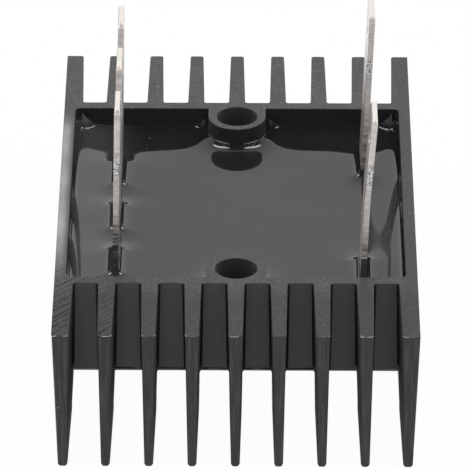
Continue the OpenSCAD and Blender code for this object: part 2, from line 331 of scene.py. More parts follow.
def make_surface_grain():
    """Fine lumps over coarse ones, as cast, fired or plated skin has."""
    tree, inlet, outlet = new_group(
        "surface_grain", [("Fine", 9000.0), ("Coarse", 1500.0), ("Share", 0.5)], ["Height", "Tone"]
    )
    spot = place(tree)[0]
    fine = noise(tree, spot, inlet["Fine"], 3.0, 0.6)
    coarse = noise(tree, spot, inlet["Coarse"], 4.0, 0.55)
    height = mix(tree, inlet["Share"], fine, coarse)
    tree.links.new(height, outlet.inputs["Height"])
    drift = noise(tree, spot, 130.0, 4.0, 0.55)
    tone = sums(tree, "MULTIPLY_ADD", coarse, 0.45, times(tree, drift, 0.55))
    tree.links.new(tone, outlet.inputs["Tone"])


def make_edge_wear():
    """Spots worn through on rounded edges, from the edge_roll attribute."""
    tree, inlet, outlet = new_group("edge_wear", [("Spots", 2500.0), ("Bare share", 0.4)], ["Mask"])
    spot = place(tree)[0]
    roll = add(tree, "ShaderNodeAttribute", attribute_name="edge_roll").outputs["Fac"]
    patch = noise(tree, spot, inlet["Spots"], 4.0, 0.65)
    start = sums(tree, "SUBTRACT", 0.82, times(tree, inlet["Bare share"], 0.5))
    spots = ramp(tree, patch, start, sums(tree, "ADD", start, 0.12))
    tree.links.new(times(tree, roll, spots), outlet.inputs["Mask"])


def make_dust_specks():
    """Small pale specks, each of its own size."""
    tree, inlet, outlet = new_group("dust_specks", [("Cells", 420.0), ("Speck share", 0.3)], ["Mask"])
    spot = place(tree)[0]
    cell = add(tree, "ShaderNodeTexVoronoi", {"Vector": spot, "Scale": inlet["Cells"]})
    pick = add(tree, "ShaderNodeSeparateColor", {0: cell.outputs["Color"]}).outputs
    kept = sums(tree, "LESS_THAN", pick[0], inlet["Speck share"])
    radius = sums(tree, "MULTIPLY_ADD", pick[1], 0.06, 0.015)
    inside = sums(tree, "LESS_THAN", cell.outputs["Distance"], radius)
    tree.links.new(times(tree, kept, inside), outlet.inputs["Mask"])


def make_fine_scratches():
    """Short hair scratches in two directions."""
    tree, inlet, outlet = new_group("fine_scratches", [("Density", 1200.0), ("Length", 14.0)], ["Mask"])
    spot, x, y, z = place(tree)
    total = None
    for angle in (0.35, 1.15, 2.5):
        cosine = math.cos(angle)
        sine = math.sin(angle)
        along = sums(tree, "ADD", times(tree, x, cosine), times(tree, y, sine))
        across = sums(tree, "SUBTRACT", times(tree, y, cosine), times(tree, x, sine))
        along = sums(tree, "DIVIDE", along, inlet["Length"])
        vector = add(tree, "ShaderNodeCombineXYZ", {0: along, 1: across, 2: z}).outputs[0]
        line = ramp(tree, noise(tree, vector, inlet["Density"], 1.0, 0.4), 0.70, 0.78)
        total = line if total is None else sums(tree, "MAXIMUM", total, line)
    tree.links.new(total, outlet.inputs["Mask"])


def make_rib_marks():
    """Lines across the height, each broken and of its own strength, as a shear leaves."""
    tree, inlet, outlet = new_group("rib_marks", [("Pitch", 0.00013), ("Waver", 0.35)], ["Height", "Tone"])
    spot, x, y, z = place(tree)
    waver = times(tree, noise(tree, spot, 900.0, 2.0), inlet["Waver"])
    turns = sums(tree, "ADD", sums(tree, "DIVIDE", z, inlet["Pitch"]), times(tree, waver, 6.0))
    wave = sums(tree, "SINE", times(tree, turns, 2.0 * math.pi))
    breaks = ramp(tree, noise(tree, stretch(tree, spot, 1.0, 1.0, 3.0), 700.0, 3.0), 0.35, 0.65)
    tree.links.new(times(tree, wave, breaks), outlet.inputs["Height"])
    lines = noise(tree, stretch(tree, spot, 0.4, 0.4, 6.0), 1100.0, 3.0, 0.6)
    tree.links.new(lines, outlet.inputs["Tone"])


def new_material(name, shader_values):
    """A material with one Principled shader and its plain values."""
    material = bpy.data.materials.new(name)
    material.use_nodes = True
    tree = material.node_tree
    tree.nodes.clear()
    shader = add(tree, "ShaderNodeBsdfPrincipled")
    for label, value in shader_values.items():
        shader.inputs[label].default_value = value
    out = add(tree, "ShaderNodeOutputMaterial")
    tree.links.new(shader.outputs[0], out.inputs["Surface"])
    return material, tree, shader


def bump(tree, shader, height, distance, strength=1.0, below=None):
    """Adds a bump of that real height in metres, over another bump if one is given."""
    inputs = {"Height": height, "Distance": distance, "Strength": strength}
    if below is not None:
        inputs["Normal"] = below
    normal = add(tree, "ShaderNodeBump", inputs).outputs[0]
    tree.links.new(normal, shader.inputs["Normal"])
    return normal


def casting_material(look):
    """Black-stained die-cast aluminium with a milled upper face."""
    material, tree, shader = new_material("stained_casting", {"IOR": 1.5})
    spot, x, y, z = place(tree)
    nx, ny, nz = facing(tree)
    grain = effect(tree, "surface_grain", Fine=8000.0, Coarse=1700.0, Share=0.45)
    wear = effect(tree, "edge_wear", Spots=2600.0, Bare_share=0.20)["Mask"]
    specks = effect(tree, "dust_specks", Cells=260.0, Speck_share=0.16)["Mask"]
    scratches = effect(tree, "fine_scratches", Density=900.0, Length=12.0)["Mask"]
    nick = add(tree, "ShaderNodeAttribute", attribute_name="nick").outputs["Fac"]
    roll = add(tree, "ShaderNodeAttribute", attribute_name="edge_roll").outputs["Fac"]
    nick = times(tree, nick, roll)
    high = sums(tree, "GREATER_THAN", z, RIM_Z - 0.25 * MM)
    milled = times(tree, ramp(tree, nz, 0.75, 0.97), high)

    # the cutter's arcs: rings round a point well outside the rim, deeper in some bands than in others
    from_x = sums(tree, "SUBTRACT", x, 46.0 * MM)
    from_y = sums(tree, "SUBTRACT", y, -97.0 * MM)
    squares = sums(tree, "ADD", times(tree, from_x, from_x), times(tree, from_y, from_y))
    reach = sums(tree, "POWER", squares, 0.5)
    along = add(tree, "ShaderNodeCombineXYZ", {0: reach}).outputs[0]
    uneven = times(tree, noise(tree, along, 420.0, 2.0), 2.6 * MM)
    drift = sums(tree, "MULTIPLY_ADD", noise(tree, spot, 120.0, 2.0), 0.9 * MM, uneven)
    rings = sums(tree, "DIVIDE", sums(tree, "ADD", reach, drift), look.saw_pitch)
    ridge = sums(tree, "SINE", times(tree, rings, 2.0 * math.pi))
    band = ramp(tree, noise(tree, along, 700.0, 2.0), 0.36, 0.60, 0.25, 1.0)
    corner = sums(tree, "ADD", x, times(tree, y, 0.25))
    corner = ramp(tree, corner, -18.5 * MM, -26.5 * MM, 0.10, 0.85)
    corner = times(tree, corner, ramp(tree, y, -17.0 * MM, -27.0 * MM))
    broken = ramp(tree, noise(tree, spot, 900.0, 3.0), 0.30, 0.50, 0.35, 1.0)
    cut = times(tree, ramp(tree, ridge, 0.45, 0.95), band, corner, broken, milled)

    # the milled face: smudged, darker on the front fins and along the right edge, with pores and bright spots
    stained = blend(tree, grain["Tone"], shade(look.stain, 0.72), shade(look.stain, 1.25))
    planed = blend(tree, grain["Tone"], shade(look.milled, 0.85), shade(look.milled, 1.15))
    smudge = noise(tree, stretch(tree, spot, 1.0, 0.5, 1.0), 420.0, 4.0, 0.6)
    smudge = ramp(tree, smudge, 0.35, 0.65, 0.62, 1.25)
    smudges = add(tree, "ShaderNodeCombineXYZ", {0: smudge, 1: smudge, 2: smudge}).outputs[0]
    planed = blend(tree, 1.0, planed, smudges, "MULTIPLY")
    front = ramp(tree, y, -26.0 * MM, -31.0 * MM)
    right = ramp(tree, x, 21.0 * MM, 22.5 * MM, 0.0, 0.8)
    planed = blend(tree, front, planed, shade(look.milled, 0.42))
    planed = blend(tree, right, planed, shade(look.milled, 0.42))
    pores = noise(tree, spot, 2300.0, 3.0, 0.65)
    planed = blend(tree, ramp(tree, pores, 0.40, 0.62, 0.7, 0.0), planed, shade(look.milled, 0.10))
    planed = blend(tree, ramp(tree, pores, 0.60, 0.72, 0.0, 0.6), planed, shade(look.milled, 2.2))
    base = blend(tree, milled, stained, planed)

    # painted sheen: a pale reflection is painted along the left edge of the rim
    sheen_mask = times(
        tree,
        ramp(tree, x, -22.2 * MM, -23.4 * MM),
        ramp(tree, y, -27.0 * MM, -11.0 * MM),
        ramp(tree, y, 24.0 * MM, 14.0 * MM),
        ramp(tree, smudge, 0.62, 1.25, 0.80, 1.0),
        milled,
    )
    base = blend(tree, sheen_mask, base, PAINTED_SHEEN)

    # the two drilled holes, and the tub's ends seen between the fins
    cast = sums(tree, "SUBTRACT", 1.0, milled)
    out = size_of(tree, y)
    aside = sums(tree, "SUBTRACT", out, HOLE_Y)
    off_axis = sums(tree, "ADD", times(tree, x, x), times(tree, aside, aside))
    in_hole = times(tree, sums(tree, "LESS_THAN", off_axis, (3.1 * MM) ** 2), cast)
    base = blend(tree, in_hole, base, rgba(look.drilled))
    endways = ramp(tree, size_of(tree, ny), 0.7, 0.95)
    recess = times(tree, ramp(tree, out, END_Y - 6.0 * MM, END_Y - 12.0 * MM), endways)
    recess = times(tree, recess, ramp(tree, out, 25.0 * MM, 25.5 * MM))
    # painted light: the tub's ends between the fins are painted lighter than the stain, to lift the shade the
    # fins cast there, and lighter still towards the left
    base = blend(tree, recess, base, shade(look.stain, 1.6))
    lighter = times(tree, recess, ramp(tree, x, 16.0 * MM, -20.0 * MM, smooth=False))
    base = blend(tree, lighter, base, TUB_END_PAINTED_LIGHT)

    # upright streaks on the narrow ends of the fins
    streak = noise(tree, stretch(tree, spot, 1.0, 1.0, 0.06), 2600.0, 3.0, 0.6)
    fronts = times(tree, endways, cast, ramp(tree, out, END_Y - 3.0 * MM, END_Y - 1.0 * MM))
    dim = times(tree, ramp(tree, streak, 0.52, 0.36), fronts)
    base = blend(tree, times(tree, dim, 0.8), base, shade(look.stain, 0.25))
    pale = times(tree, ramp(tree, streak, 0.50, 0.66), fronts)
    base = blend(tree, times(tree, pale, 0.7), base, shade(look.stain, 2.8))
    base = blend(tree, times(tree, cut, 0.95), base, shade(look.milled, 0.25))
    base = blend(tree, times(tree, scratches, 0.10), base, (0.10, 0.10, 0.10, 1.0))
    base = blend(tree, times(tree, specks, 0.5), base, (0.22, 0.22, 0.22, 1.0))

    # the front edge of the rim is rubbed to a broken bright line
    lip = times(
        tree,
        roll,
        sums(tree, "LESS_THAN", y, 0.5 * MM - END_Y),
        sums(tree, "GREATER_THAN", z, RIM_Z - 0.2 * MM),
        ramp(tree, noise(tree, spot, 700.0, 4.0, 0.7), 0.46, 0.66),
    )
    worn = sums(tree, "MAXIMUM", times(tree, wear, 0.35), times(tree, lip, 0.45))
    worn = sums(tree, "MAXIMUM", worn, nick)
    base = blend(tree, worn, base, rgba(look.bare))
    tree.links.new(base, shader.inputs["Base Color"])
    tree.links.new(times(tree, worn, 0.9), shader.inputs["Metallic"])

    rough = ramp(tree, grain["Tone"], 0.2, 0.8, 0.36, 0.50)
    polish = sums(tree, "MULTIPLY_ADD", front, 0.12, ramp(tree, pores, 0.35, 0.65, 0.37, 0.24))
    rough = mix(tree, milled, rough, polish)
    rough = mix(tree, recess, rough, 0.22)
    flank = ramp(tree, size_of(tree, nx), 0.6, 0.95)
    rough = sums(tree, "MULTIPLY_ADD", flank, 0.45, rough)
    rough = sums(tree, "ADD", rough, times(tree, cut, 0.60))
    tree.links.new(rough, shader.inputs["Roughness"])

    draw = noise(tree, stretch(tree, spot, 1.0, 1.0, 0.03), 5200.0, 3.0, 0.6)
    skin = sums(tree, "MULTIPLY_ADD", times(tree, draw, size_of(tree, ny)), 0.6, grain["Height"])
    normal = bump(tree, shader, skin, 0.012 * MM, 0.8)
    normal = bump(tree, shader, times(tree, streak, fronts), 0.030 * MM, 0.9, normal)
    bump(tree, shader, times(tree, cut, -1.0), 0.015 * MM, 0.8, normal)
    return material


def resin_material(look):
    """Black epoxy, self-levelled to a gloss, with a little dust in it."""
    material, tree, shader = new_material("gloss_resin", {"IOR": 1.5})
    spot = place(tree)[0]
    grain = effect(tree, "surface_grain", Fine=2600.0, Coarse=420.0, Share=0.7)
    specks = effect(tree, "dust_specks", Cells=700.0, Speck_share=0.90)["Mask"]
    base = blend(tree, grain["Tone"], shade(look.colour, 0.8), shade(look.colour, 1.2))
    base = blend(tree, times(tree, specks, 0.60), base, (0.20, 0.20, 0.20, 1.0))
    # the resin's colour is paler towards the front
    paler_front = ramp(tree, place(tree)[1], -12.0 * MM, -21.0 * MM)
    base = blend(tree, paler_front, base, (0.046, 0.046, 0.049, 1.0))
    tree.links.new(base, shader.inputs["Base Color"])
    smear = noise(tree, spot, 260.0, 3.0, 0.6)
    rough = ramp(tree, smear, 0.35, 0.75, 0.035, 0.085)
    tree.links.new(sums(tree, "MAXIMUM", rough, times(tree, specks, 0.4)), shader.inputs["Roughness"])
    bump(tree, shader, grain["Height"], 0.0012 * MM, 0.6)
    return material


def blade_material(look):
    """Tin over brass, sheared at the edges, torn at the tie-bar stubs and dull near the resin, with painted
    shade on the edges above the resin and on the faces turned to the side walls.
    """
    material, tree, shader = new_material("tinned_blade", {"IOR": 1.5})
    spot, x, y, z = place(tree)
    nx, ny, nz = facing(tree)
    ribs = effect(tree, "rib_marks", Pitch=look.shear_pitch, Waver=0.35)
    grain = effect(tree, "surface_grain", Fine=6000.0, Coarse=1200.0, Share=0.5)
    wear = effect(tree, "edge_wear", Spots=2200.0, Bare_share=0.5)["Mask"]
    scratches = effect(tree, "fine_scratches", Density=1500.0, Length=9.0)["Mask"]
    edge = ramp(tree, size_of(tree, ny), 0.45, 0.9)
    low = ramp(tree, z, RESIN_Z + 12.0 * MM, RESIN_Z + 1.0 * MM)
    bands = ramp(tree, noise(tree, stretch(tree, spot, 0.5, 0.5, 1.0), 330.0, 3.0, 0.6), 0.36, 0.64)
    broad = noise(tree, stretch(tree, spot, 0.22, 0.22, 2.3), 1150.0, 3.0, 0.65)
    dull = ramp(tree, ribs["Tone"], 0.42, 0.60, 0.0, 0.8)
    dull = sums(tree, "MAXIMUM", dull, ramp(tree, broad, 0.46, 0.62))
    dull = times(tree, dull, sums(tree, "MULTIPLY_ADD", bands, 0.7, 0.3))
    dull = times(tree, dull, sums(tree, "MULTIPLY_ADD", low, 0.60, 0.40))
    dull = times(tree, dull, sums(tree, "MULTIPLY_ADD", edge, 0.8, 0.2))

    # the torn stubs of the tie bar, with a dark lap along the top of each
    torn = times(tree, edge, ramp(tree, z, STUB_Z - STUB_H, STUB_Z - STUB_H + 0.1 * MM))
    torn = times(tree, torn, ramp(tree, z, STUB_Z, STUB_Z - 0.1 * MM))
    pits = noise(tree, spot, 3600.0, 4.0, 0.7)
    lap = times(tree, ramp(tree, z, STUB_Z - 0.05 * MM, STUB_Z + 0.05 * MM), edge)
    lap = times(tree, lap, ramp(tree, z, STUB_Z + 0.9 * MM, STUB_Z + 0.1 * MM))
    lap = times(tree, lap, ramp(tree, noise(tree, spot, 1300.0, 3.0), 0.42, 0.62))

    base = blend(tree, grain["Tone"], shade(look.tin, 0.88), shade(look.tin, 1.10))
    base = blend(tree, dull, base, rgba(look.bruise))
    rough_tone = blend(tree, ramp(tree, pits, 0.42, 0.52), shade(look.tin, 0.22), (0.93, 0.92, 0.91, 1.0))
    base = blend(tree, torn, base, rough_tone)
    base = blend(tree, times(tree, lap, 0.8), base, rgba(look.bruise))
    base = blend(tree, times(tree, wear, 0.5), base, (0.74, 0.70, 0.67, 1.0))
    base = blend(tree, times(tree, scratches, 0.25), base, rgba(look.bruise))

    # painted shade: the faces turned to the side walls are painted darker, as the dark walls shade them
    turned = times(tree, nx, sums(tree, "SIGN", x))
    turned = ramp(tree, turned, 0.5, 0.9)
    base = blend(tree, times(tree, turned, 0.85), base, SHADED_SIDE)

    # painted shade: the blades' edges are painted dark just above the resin, and more so on the left
    edge_shade = ramp(tree, z, RESIN_Z + 9.8 * MM, RESIN_Z + 4.2 * MM)
    edge_shade = times(tree, edge_shade, ramp(tree, broad, 0.34, 0.58, 0.15, 1.0))
    edge_shade = times(tree, edge_shade, edge)
    edge_shade = times(tree, edge_shade, ramp(tree, x, -1.0 * MM, 1.0 * MM, 0.85, 0.55))
    base = blend(tree, edge_shade, base, EDGE_SHADE)

    # resin that has crept up the front edges of the two front blades
    film = 0.0
    for node, side, height in (("ac_terminal_3", -1.0, 2.9), ("negative_terminal", 1.0, 3.6)):
        edge_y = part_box(node)[0][1]
        front = ramp(tree, y, edge_y + 1.1 * MM, edge_y + 0.6 * MM)
        creep = sums(tree, "MULTIPLY_ADD", noise(tree, spot, 700.0, 3.0), 1.0 * MM, RESIN_Z + height * MM)
        part = times(tree, sums(tree, "LESS_THAN", z, creep), front)
        part = times(tree, part, sums(tree, "GREATER_THAN", times(tree, x, side), 0.0))
        film = sums(tree, "MAXIMUM", film, part)
    lumps = ramp(tree, noise(tree, spot, 1500.0, 3.0, 0.6), 0.35, 0.7)
    cured = blend(tree, lumps, FILM, shade(FILM, 2.2))
    base = blend(tree, film, base, cured)
    tree.links.new(base, shader.inputs["Base Color"])
    tree.links.new(ramp(tree, film, 0.0, 1.0, 0.9, 0.0), shader.inputs["Metallic"])
    rough = ramp(tree, grain["Tone"], 0.25, 0.75, 0.28, 0.44)
    rough = sums(tree, "ADD", rough, times(tree, edge, 0.10))
    rough = mix(tree, film, rough, 0.25)
    tree.links.new(rough, shader.inputs["Roughness"])
    marks = times(tree, ribs["Height"], edge)
    normal = bump(tree, shader, marks, 0.014 * MM, 0.8)
    normal = bump(tree, shader, times(tree, pits, torn), 0.08 * MM, 0.9, normal)
    bump(tree, shader, grain["Height"], 0.006 * MM, 0.5, normal)
    return material


def circuit_material(name, tone, metallic, low, high, fine):
    """A plain part of the buried circuit: its colour drifts, and its skin has grain and scratches."""
    material, tree, shader = new_material(name, {"Metallic": metallic})
    grain = effect(tree, "surface_grain", Fine=fine, Coarse=fine * 0.15, Share=0.5)
    scratches = effect(tree, "fine_scratches", Density=1400.0, Length=10.0)["Mask"]
    base = blend(tree, grain["Tone"], shade(tone, 0.82), shade(tone, 1.12))
    base = blend(tree, times(tree, scratches, 0.3), base, shade(tone, 0.55))
    tree.links.new(base, shader.inputs["Base Color"])
    tree.links.new(ramp(tree, grain["Tone"], 0.2, 0.8, low, high), shader.inputs["Roughness"])
    bump(tree, shader, grain["Height"], 0.006 * MM, 0.6)
    return material


# ---------------------------------------------------------------- meshes


def merged_copy(node, flat=0.4, sliver=0.0):
    """The node's mesh with its doubles merged and its flat faces joined."""
    work = bmesh.new()
    work.from_mesh(NODES[node].data)
    bmesh.ops.remove_doubles(work, verts=work.verts, dist=0.000005)
    if sliver:
        bmesh.ops.dissolve_degenerate(work, dist=sliver, edges=work.edges)
    bmesh.ops.dissolve_limit(work, angle_limit=math.radians(flat), verts=work.verts, edges=work.edges)
    return work


def split_long(work, edges, longest):
    """Cuts edges into even lengths no longer than longest, and leaves their faces whole."""
    made = []
    for edge in list(edges):
        count = math.ceil(edge.calc_length() / longest)
        tail = edge.verts[1]
        piece = edge
        for left in range(count, 1, -1):
            new_edge, new_vert = bmesh.utils.edge_split(piece, tail, (left - 1) / left)
            made.append(new_vert)
            near, far = (piece, new_edge) if tail in piece.verts else (new_edge, piece)
            piece = near
    return made


def finished(name, mesh, material, slot, *replaced):
    """Puts a mesh in the scene as a finished piece that rides on the root body."""
    piece = bpy.data.objects.new(name, mesh)
    bpy.context.scene.collection.objects.link(piece)
    if not mesh.materials:
        mesh.materials.append(material)
    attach(piece, "root")
    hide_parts(*replaced)
    return piece


def weighted_normals(mesh, angle=40.0):
    """Smooth shading that keeps flat faces flat and creases sharp."""
    mesh.polygons.foreach_set("use_smooth", [True] * len(mesh.polygons))
    mesh.set_sharp_from_angle(angle=math.radians(angle))
    mesh.update()
    return mesh


def baked(name, mesh, modifiers):
    """Runs modifiers on a mesh and gives back the result as a plain mesh."""
    carrier = bpy.data.objects.new(name + "_work", mesh)
    bpy.context.scene.collection.objects.link(carrier)
    for kind, settings, sockets in modifiers:
        modifier = carrier.modifiers.new(kind.lower(), kind)
        for label, value in settings.items():
            setattr(modifier, label, value)
        for label, value in sockets.items():
            modifier[label] = value
    graph = bpy.context.evaluated_depsgraph_get()
    result = bpy.data.meshes.new_from_object(carrier.evaluated_get(graph), depsgraph=graph)
    result.name = name
    bpy.data.objects.remove(carrier)
    return result


def socket_ids(tree):
    """The identifier of each named input of a geometry tree."""
    items = tree.interface.items_tree
    return {i.name: i.identifier for i in items if i.item_type == "SOCKET" and i.in_out == "INPUT"}


def new_geometry_tree(name, inputs):
    """An empty geometry tree with named inputs."""
    tree = bpy.data.node_groups.new(name, "GeometryNodeTree")
    tree.interface.new_socket("Geometry", in_out="INPUT", socket_type="NodeSocketGeometry")
    for label, kind, value in inputs:
        socket = tree.interface.new_socket(label, in_out="INPUT", socket_type="NodeSocket" + kind)
        if value is not None:
            socket.default_value = value
    tree.interface.new_socket("Geometry", in_out="OUTPUT", socket_type="NodeSocketGeometry")
    return tree, tree.nodes.new("NodeGroupInput").outputs, tree.nodes.new("NodeGroupOutput")


def close_tree(tree, shape, material, outlet):
    """Ends a geometry tree in Realize Instances and Set Material."""
    real = add(tree, "GeometryNodeRealizeInstances", {0: shape}).outputs[0]
    painted = add(tree, "GeometryNodeSetMaterial", {"Geometry": real, "Material": material}).outputs[0]
    tree.links.new(painted, outlet.inputs[0])


def named(tree, label, kind="FLOAT"):
    """Reads a named attribute in a geometry tree."""
    item = add(tree, "GeometryNodeInputNamedAttribute", data_type=kind)
    item.inputs[0].default_value = label
    return next(s for s in item.outputs if s.enabled)


def make_knocks_tree():
    """Pushes points of worn edges inward: at the marked knocks, and at small random ones."""
    tree, inlet, outlet = new_geometry_tree(
        "knocked_edges",
        [
            ("Depth", "Float", 0.0001),
            ("Length", "Float", 0.0005),
            ("Share", "Float", 0.2),
            ("Seed", "Int", 7),
            ("Material", "Material", None),
        ],
    )
    spot = add(tree, "GeometryNodeInputPosition").outputs[0]
    normal = add(tree, "GeometryNodeInputNormal").outputs[0]
    scale = sums(tree, "DIVIDE", 0.8, inlet["Length"])
    lumps = add(
        tree,
        "ShaderNodeTexNoise",
        {"Vector": spot, "W": inlet["Seed"], "Scale": scale, "Detail": 1.0},
        noise_dimensions="4D",
    ).outputs[0]
    start = sums(tree, "SUBTRACT", 0.80, times(tree, inlet["Share"], 0.3))
    small = ramp(tree, lumps, start, sums(tree, "ADD", start, 0.10))
    small = times(tree, small, named(tree, "worn_edge"))
    big = named(tree, "knock")
    total = sums(tree, "MAXIMUM", times(tree, small, 0.35), big)
    push = times(tree, times(tree, total, inlet["Depth"]), -1.0)
    offset = add(tree, "ShaderNodeVectorMath", {0: normal, 3: push}, operation="SCALE").outputs[0]
    moved = add(tree, "GeometryNodeSetPosition", {"Geometry": inlet["Geometry"], "Offset": offset}).outputs[0]
    shown = ramp(tree, total, 0.25, 0.7)
    stored = add(
        tree,
        "GeometryNodeStoreNamedAttribute",
        {"Geometry": moved, "Name": "nick", "Value": shown},
        data_type="FLOAT",
        domain="POINT",
    ).outputs[0]
    close_tree(tree, stored, inlet["Material"], outlet)
    return tree


# what the resin wets, with the share of the steep and the slow rise that it gets there
BORDERS = (("side_wall", 0.70, 0.80), ("end_wall", 0.65, 0.22), ("boss", 0.90, 0.66), ("blade", 1.00, 0.55))
CORNERS = ((0, 1), (0, 2), (1, 2))


def fade(tree, distance, reach):
    """1 at a border, dying away over reach."""
    return sums(tree, "EXPONENT", times(tree, sums(tree, "DIVIDE", distance, reach), -1.0))


def make_level_tree():
    """Raises the resin where it wets walls, bosses, blades and corners, and adds slight waves."""
    inputs = [
        ("Steep rise", "Float", 0.0007),
        ("Creep", "Float", 0.0004),
        ("Slow rise", "Float", 0.0009),
        ("Reach", "Float", 0.0016),
        ("Corner rise", "Float", 0.0007),
        ("Corner reach", "Float", 0.0009),
        ("Wave height", "Float", 0.00005),
        ("Wave length", "Float", 0.013),
        ("Seed", "Int", 3),
        ("Material", "Material", None),
    ]
    tree, inlet, outlet = new_geometry_tree("settled_resin", inputs)
    border = named(tree, "border", "INT")
    total = 0.0
    near = []
    for index, (label, steep_share, slow_share) in enumerate(BORDERS):
        same = add(tree, "FunctionNodeCompare", {2: border, 3: index + 1}, data_type="INT", operation="EQUAL")
        line = add(
            tree,
            "GeometryNodeSeparateGeometry",
            {"Geometry": inlet["Geometry"], "Selection": same.outputs[0]},
            domain="EDGE",
        ).outputs[0]
        near.append(add(tree, "GeometryNodeProximity", {0: line}, target_element="EDGES").outputs["Distance"])
        steep = times(tree, fade(tree, near[-1], inlet["Creep"]), inlet["Steep rise"])
        slow = times(tree, fade(tree, near[-1], inlet["Reach"]), inlet["Slow rise"])
        total = sums(tree, "MULTIPLY_ADD", steep, steep_share, total)
        total = sums(tree, "MULTIPLY_ADD", slow, slow_share, total)
    spot = add(tree, "GeometryNodeInputPosition").outputs[0]
    back = ramp(tree, add(tree, "ShaderNodeSeparateXYZ", {0: spot}).outputs[1], -2.0 * MM, 8.0 * MM)
    for first, second in CORNERS:
        both = sums(tree, "ADD", near[first], near[second])
        climb = sums(tree, "SUBTRACT", 1.0, sums(tree, "DIVIDE", both, inlet["Corner reach"]))
        climb = times(tree, sums(tree, "SMOOTH_MAX", climb, 0.0, 0.12), back)
        total = sums(tree, "MULTIPLY_ADD", climb, inlet["Corner rise"], total)
    scale = sums(tree, "DIVIDE", 1.0, inlet["Wave length"])
    waves = add(
        tree,
        "ShaderNodeTexNoise",
        {"Vector": spot, "W": inlet["Seed"], "Scale": scale, "Detail": 1.0},
        noise_dimensions="4D",
    ).outputs[0]
    waves = times(tree, sums(tree, "SUBTRACT", waves, 0.5), inlet["Wave height"])
    lift = add(tree, "ShaderNodeCombineXYZ", {2: sums(tree, "ADD", total, waves)}).outputs[0]
    skin = sums(tree, "GREATER_THAN", named(tree, "skin"), 0.5)
    moved = add(
        tree,
        "GeometryNodeSetPosition",
        {"Geometry": inlet["Geometry"], "Selection": skin, "Offset": lift},
    ).outputs[0]
    close_tree(tree, moved, inlet["Material"], outlet)
    return tree


# knocks on the front of the rim: X, Y, Z of the middle, half length and strength, in millimetres
KNOCKS = (
    (-23.6, -40.0, 19.5, 0.35, 1.0),
    (-22.2, -40.0, 19.5, 0.12, 0.8),
    (-16.8, -40.0, 19.5, 0.45, 1.0),
    (-11.6, -40.0, 19.5, 0.12, 0.5),
    (-0.35, -40.0, 19.5, 0.35, 1.0),
    (0.2, -40.0, 19.5, 0.12, 0.8),
)


def casting_mesh(look):
    """The casting with worn, knocked edges."""
    work = merged_copy("housing", sliver=0.025 * MM)
    roll = work.faces.layers.float.new("edge_roll")
    worn = work.verts.layers.float.new("worn_edge")
    knock = work.verts.layers.float.new("knock")
    rim = []
    for edge in work.edges:
        if len(edge.link_faces) != 2:
            continue
        high = min(v.co.z for v in edge.verts) > RIM_Z - 0.01 * MM
        if high and edge.calc_face_angle_signed() > math.radians(38):
            rim.append(edge)
    split_long(work, rim, 0.18 * MM)
    work.edges.index_update()
    sharp = []
    for edge in work.edges:
        if len(edge.link_faces) == 2 and edge.calc_face_angle_signed() > math.radians(38):
            sharp.append(edge)
    rolled = bmesh.ops.bevel(
        work,
        geom=sharp,
        offset=look.edge_radius,
        offset_type="OFFSET",
        segments=2,
        profile=0.5,
        affect="EDGES",
        clamp_overlap=False,
    )
    for face in rolled["faces"]:
        face[roll] = 1.0
        for vert in face.verts:
            if vert.co.z > RIM_Z - look.edge_radius * 1.2:
                vert[worn] = 1.0
    for vert in work.verts:
        for x, y, z, half, strength in KNOCKS:
            away = (vert.co - Vector((x, y, z)) * MM).length
            if away < half * MM * 2.0:
                vert[knock] = max(vert[knock], strength * math.exp(-((away / (half * MM)) ** 2)))
        for axis in range(3):
            vert.co[axis] = min(max(vert.co[axis], CAD_BOX[0][axis]), CAD_BOX[1][axis])
    mesh = bpy.data.meshes.new("finned_casting")
    work.to_mesh(mesh)
    work.free()
    return weighted_normals(mesh)


def walk(edges):
    """Puts border edges in order, as loops of points."""
    left = set(edges)
    loops = []
    while left:
        first = left.pop()
        start, here = first.verts
        loop = [start]
        while here != start:
            loop.append(here)
            step = next(e for e in here.link_edges if e in left)
            left.remove(step)
            here = step.other_vert(here)
        loops.append(loop)
    return loops


def inside(points, loop):
    """Which points lie within a closed loop."""
    x, y = points[:, 0:1], points[:, 1:2]
    x0, y0 = loop[:, 0][None], loop[:, 1][None]
    x1, y1 = np.roll(loop[:, 0], -1)[None], np.roll(loop[:, 1], -1)[None]
    crosses = (y0 > y) != (y1 > y)
    with np.errstate(divide="ignore", invalid="ignore"):
        hit = x < (x1 - x0) * (y - y0) / (y1 - y0) + x0
    return (crosses & hit).sum(axis=1) % 2 == 1


def filling(loops):
    """Points that fill the resin's face: close together near a border, and wider in the middle."""
    tree_points = np.concatenate(loops)
    low, high = tree_points.min(axis=0), tree_points.max(axis=0)
    kept = []
    for step, near, far in ((0.13, 0.09, 0.75), (0.26, 0.75, 2.0), (0.5, 2.0, 4.2), (1.1, 4.2, 99.0)):
        count = [int((high[i] - low[i]) / step) for i in range(2)]
        grid = np.stack(np.meshgrid(*[np.linspace(low[i], high[i], count[i]) for i in range(2)]), -1)
        grid[1::2, :, 0] += step * 0.5
        grid = grid.reshape(-1, 2)
        away = np.full(len(grid), 99.0)
        for block in np.array_split(tree_points, 12):
            gap = np.sqrt(((grid[:, None] - block[None]) ** 2).sum(-1)).min(axis=1)
            away = np.minimum(away, gap)
        held = (away > near) & (away <= far) & inside(grid, loops[0])
        for loop in loops[1:]:
            held &= ~inside(grid, loop)
        kept.append(grid[held])
    return np.concatenate(kept)


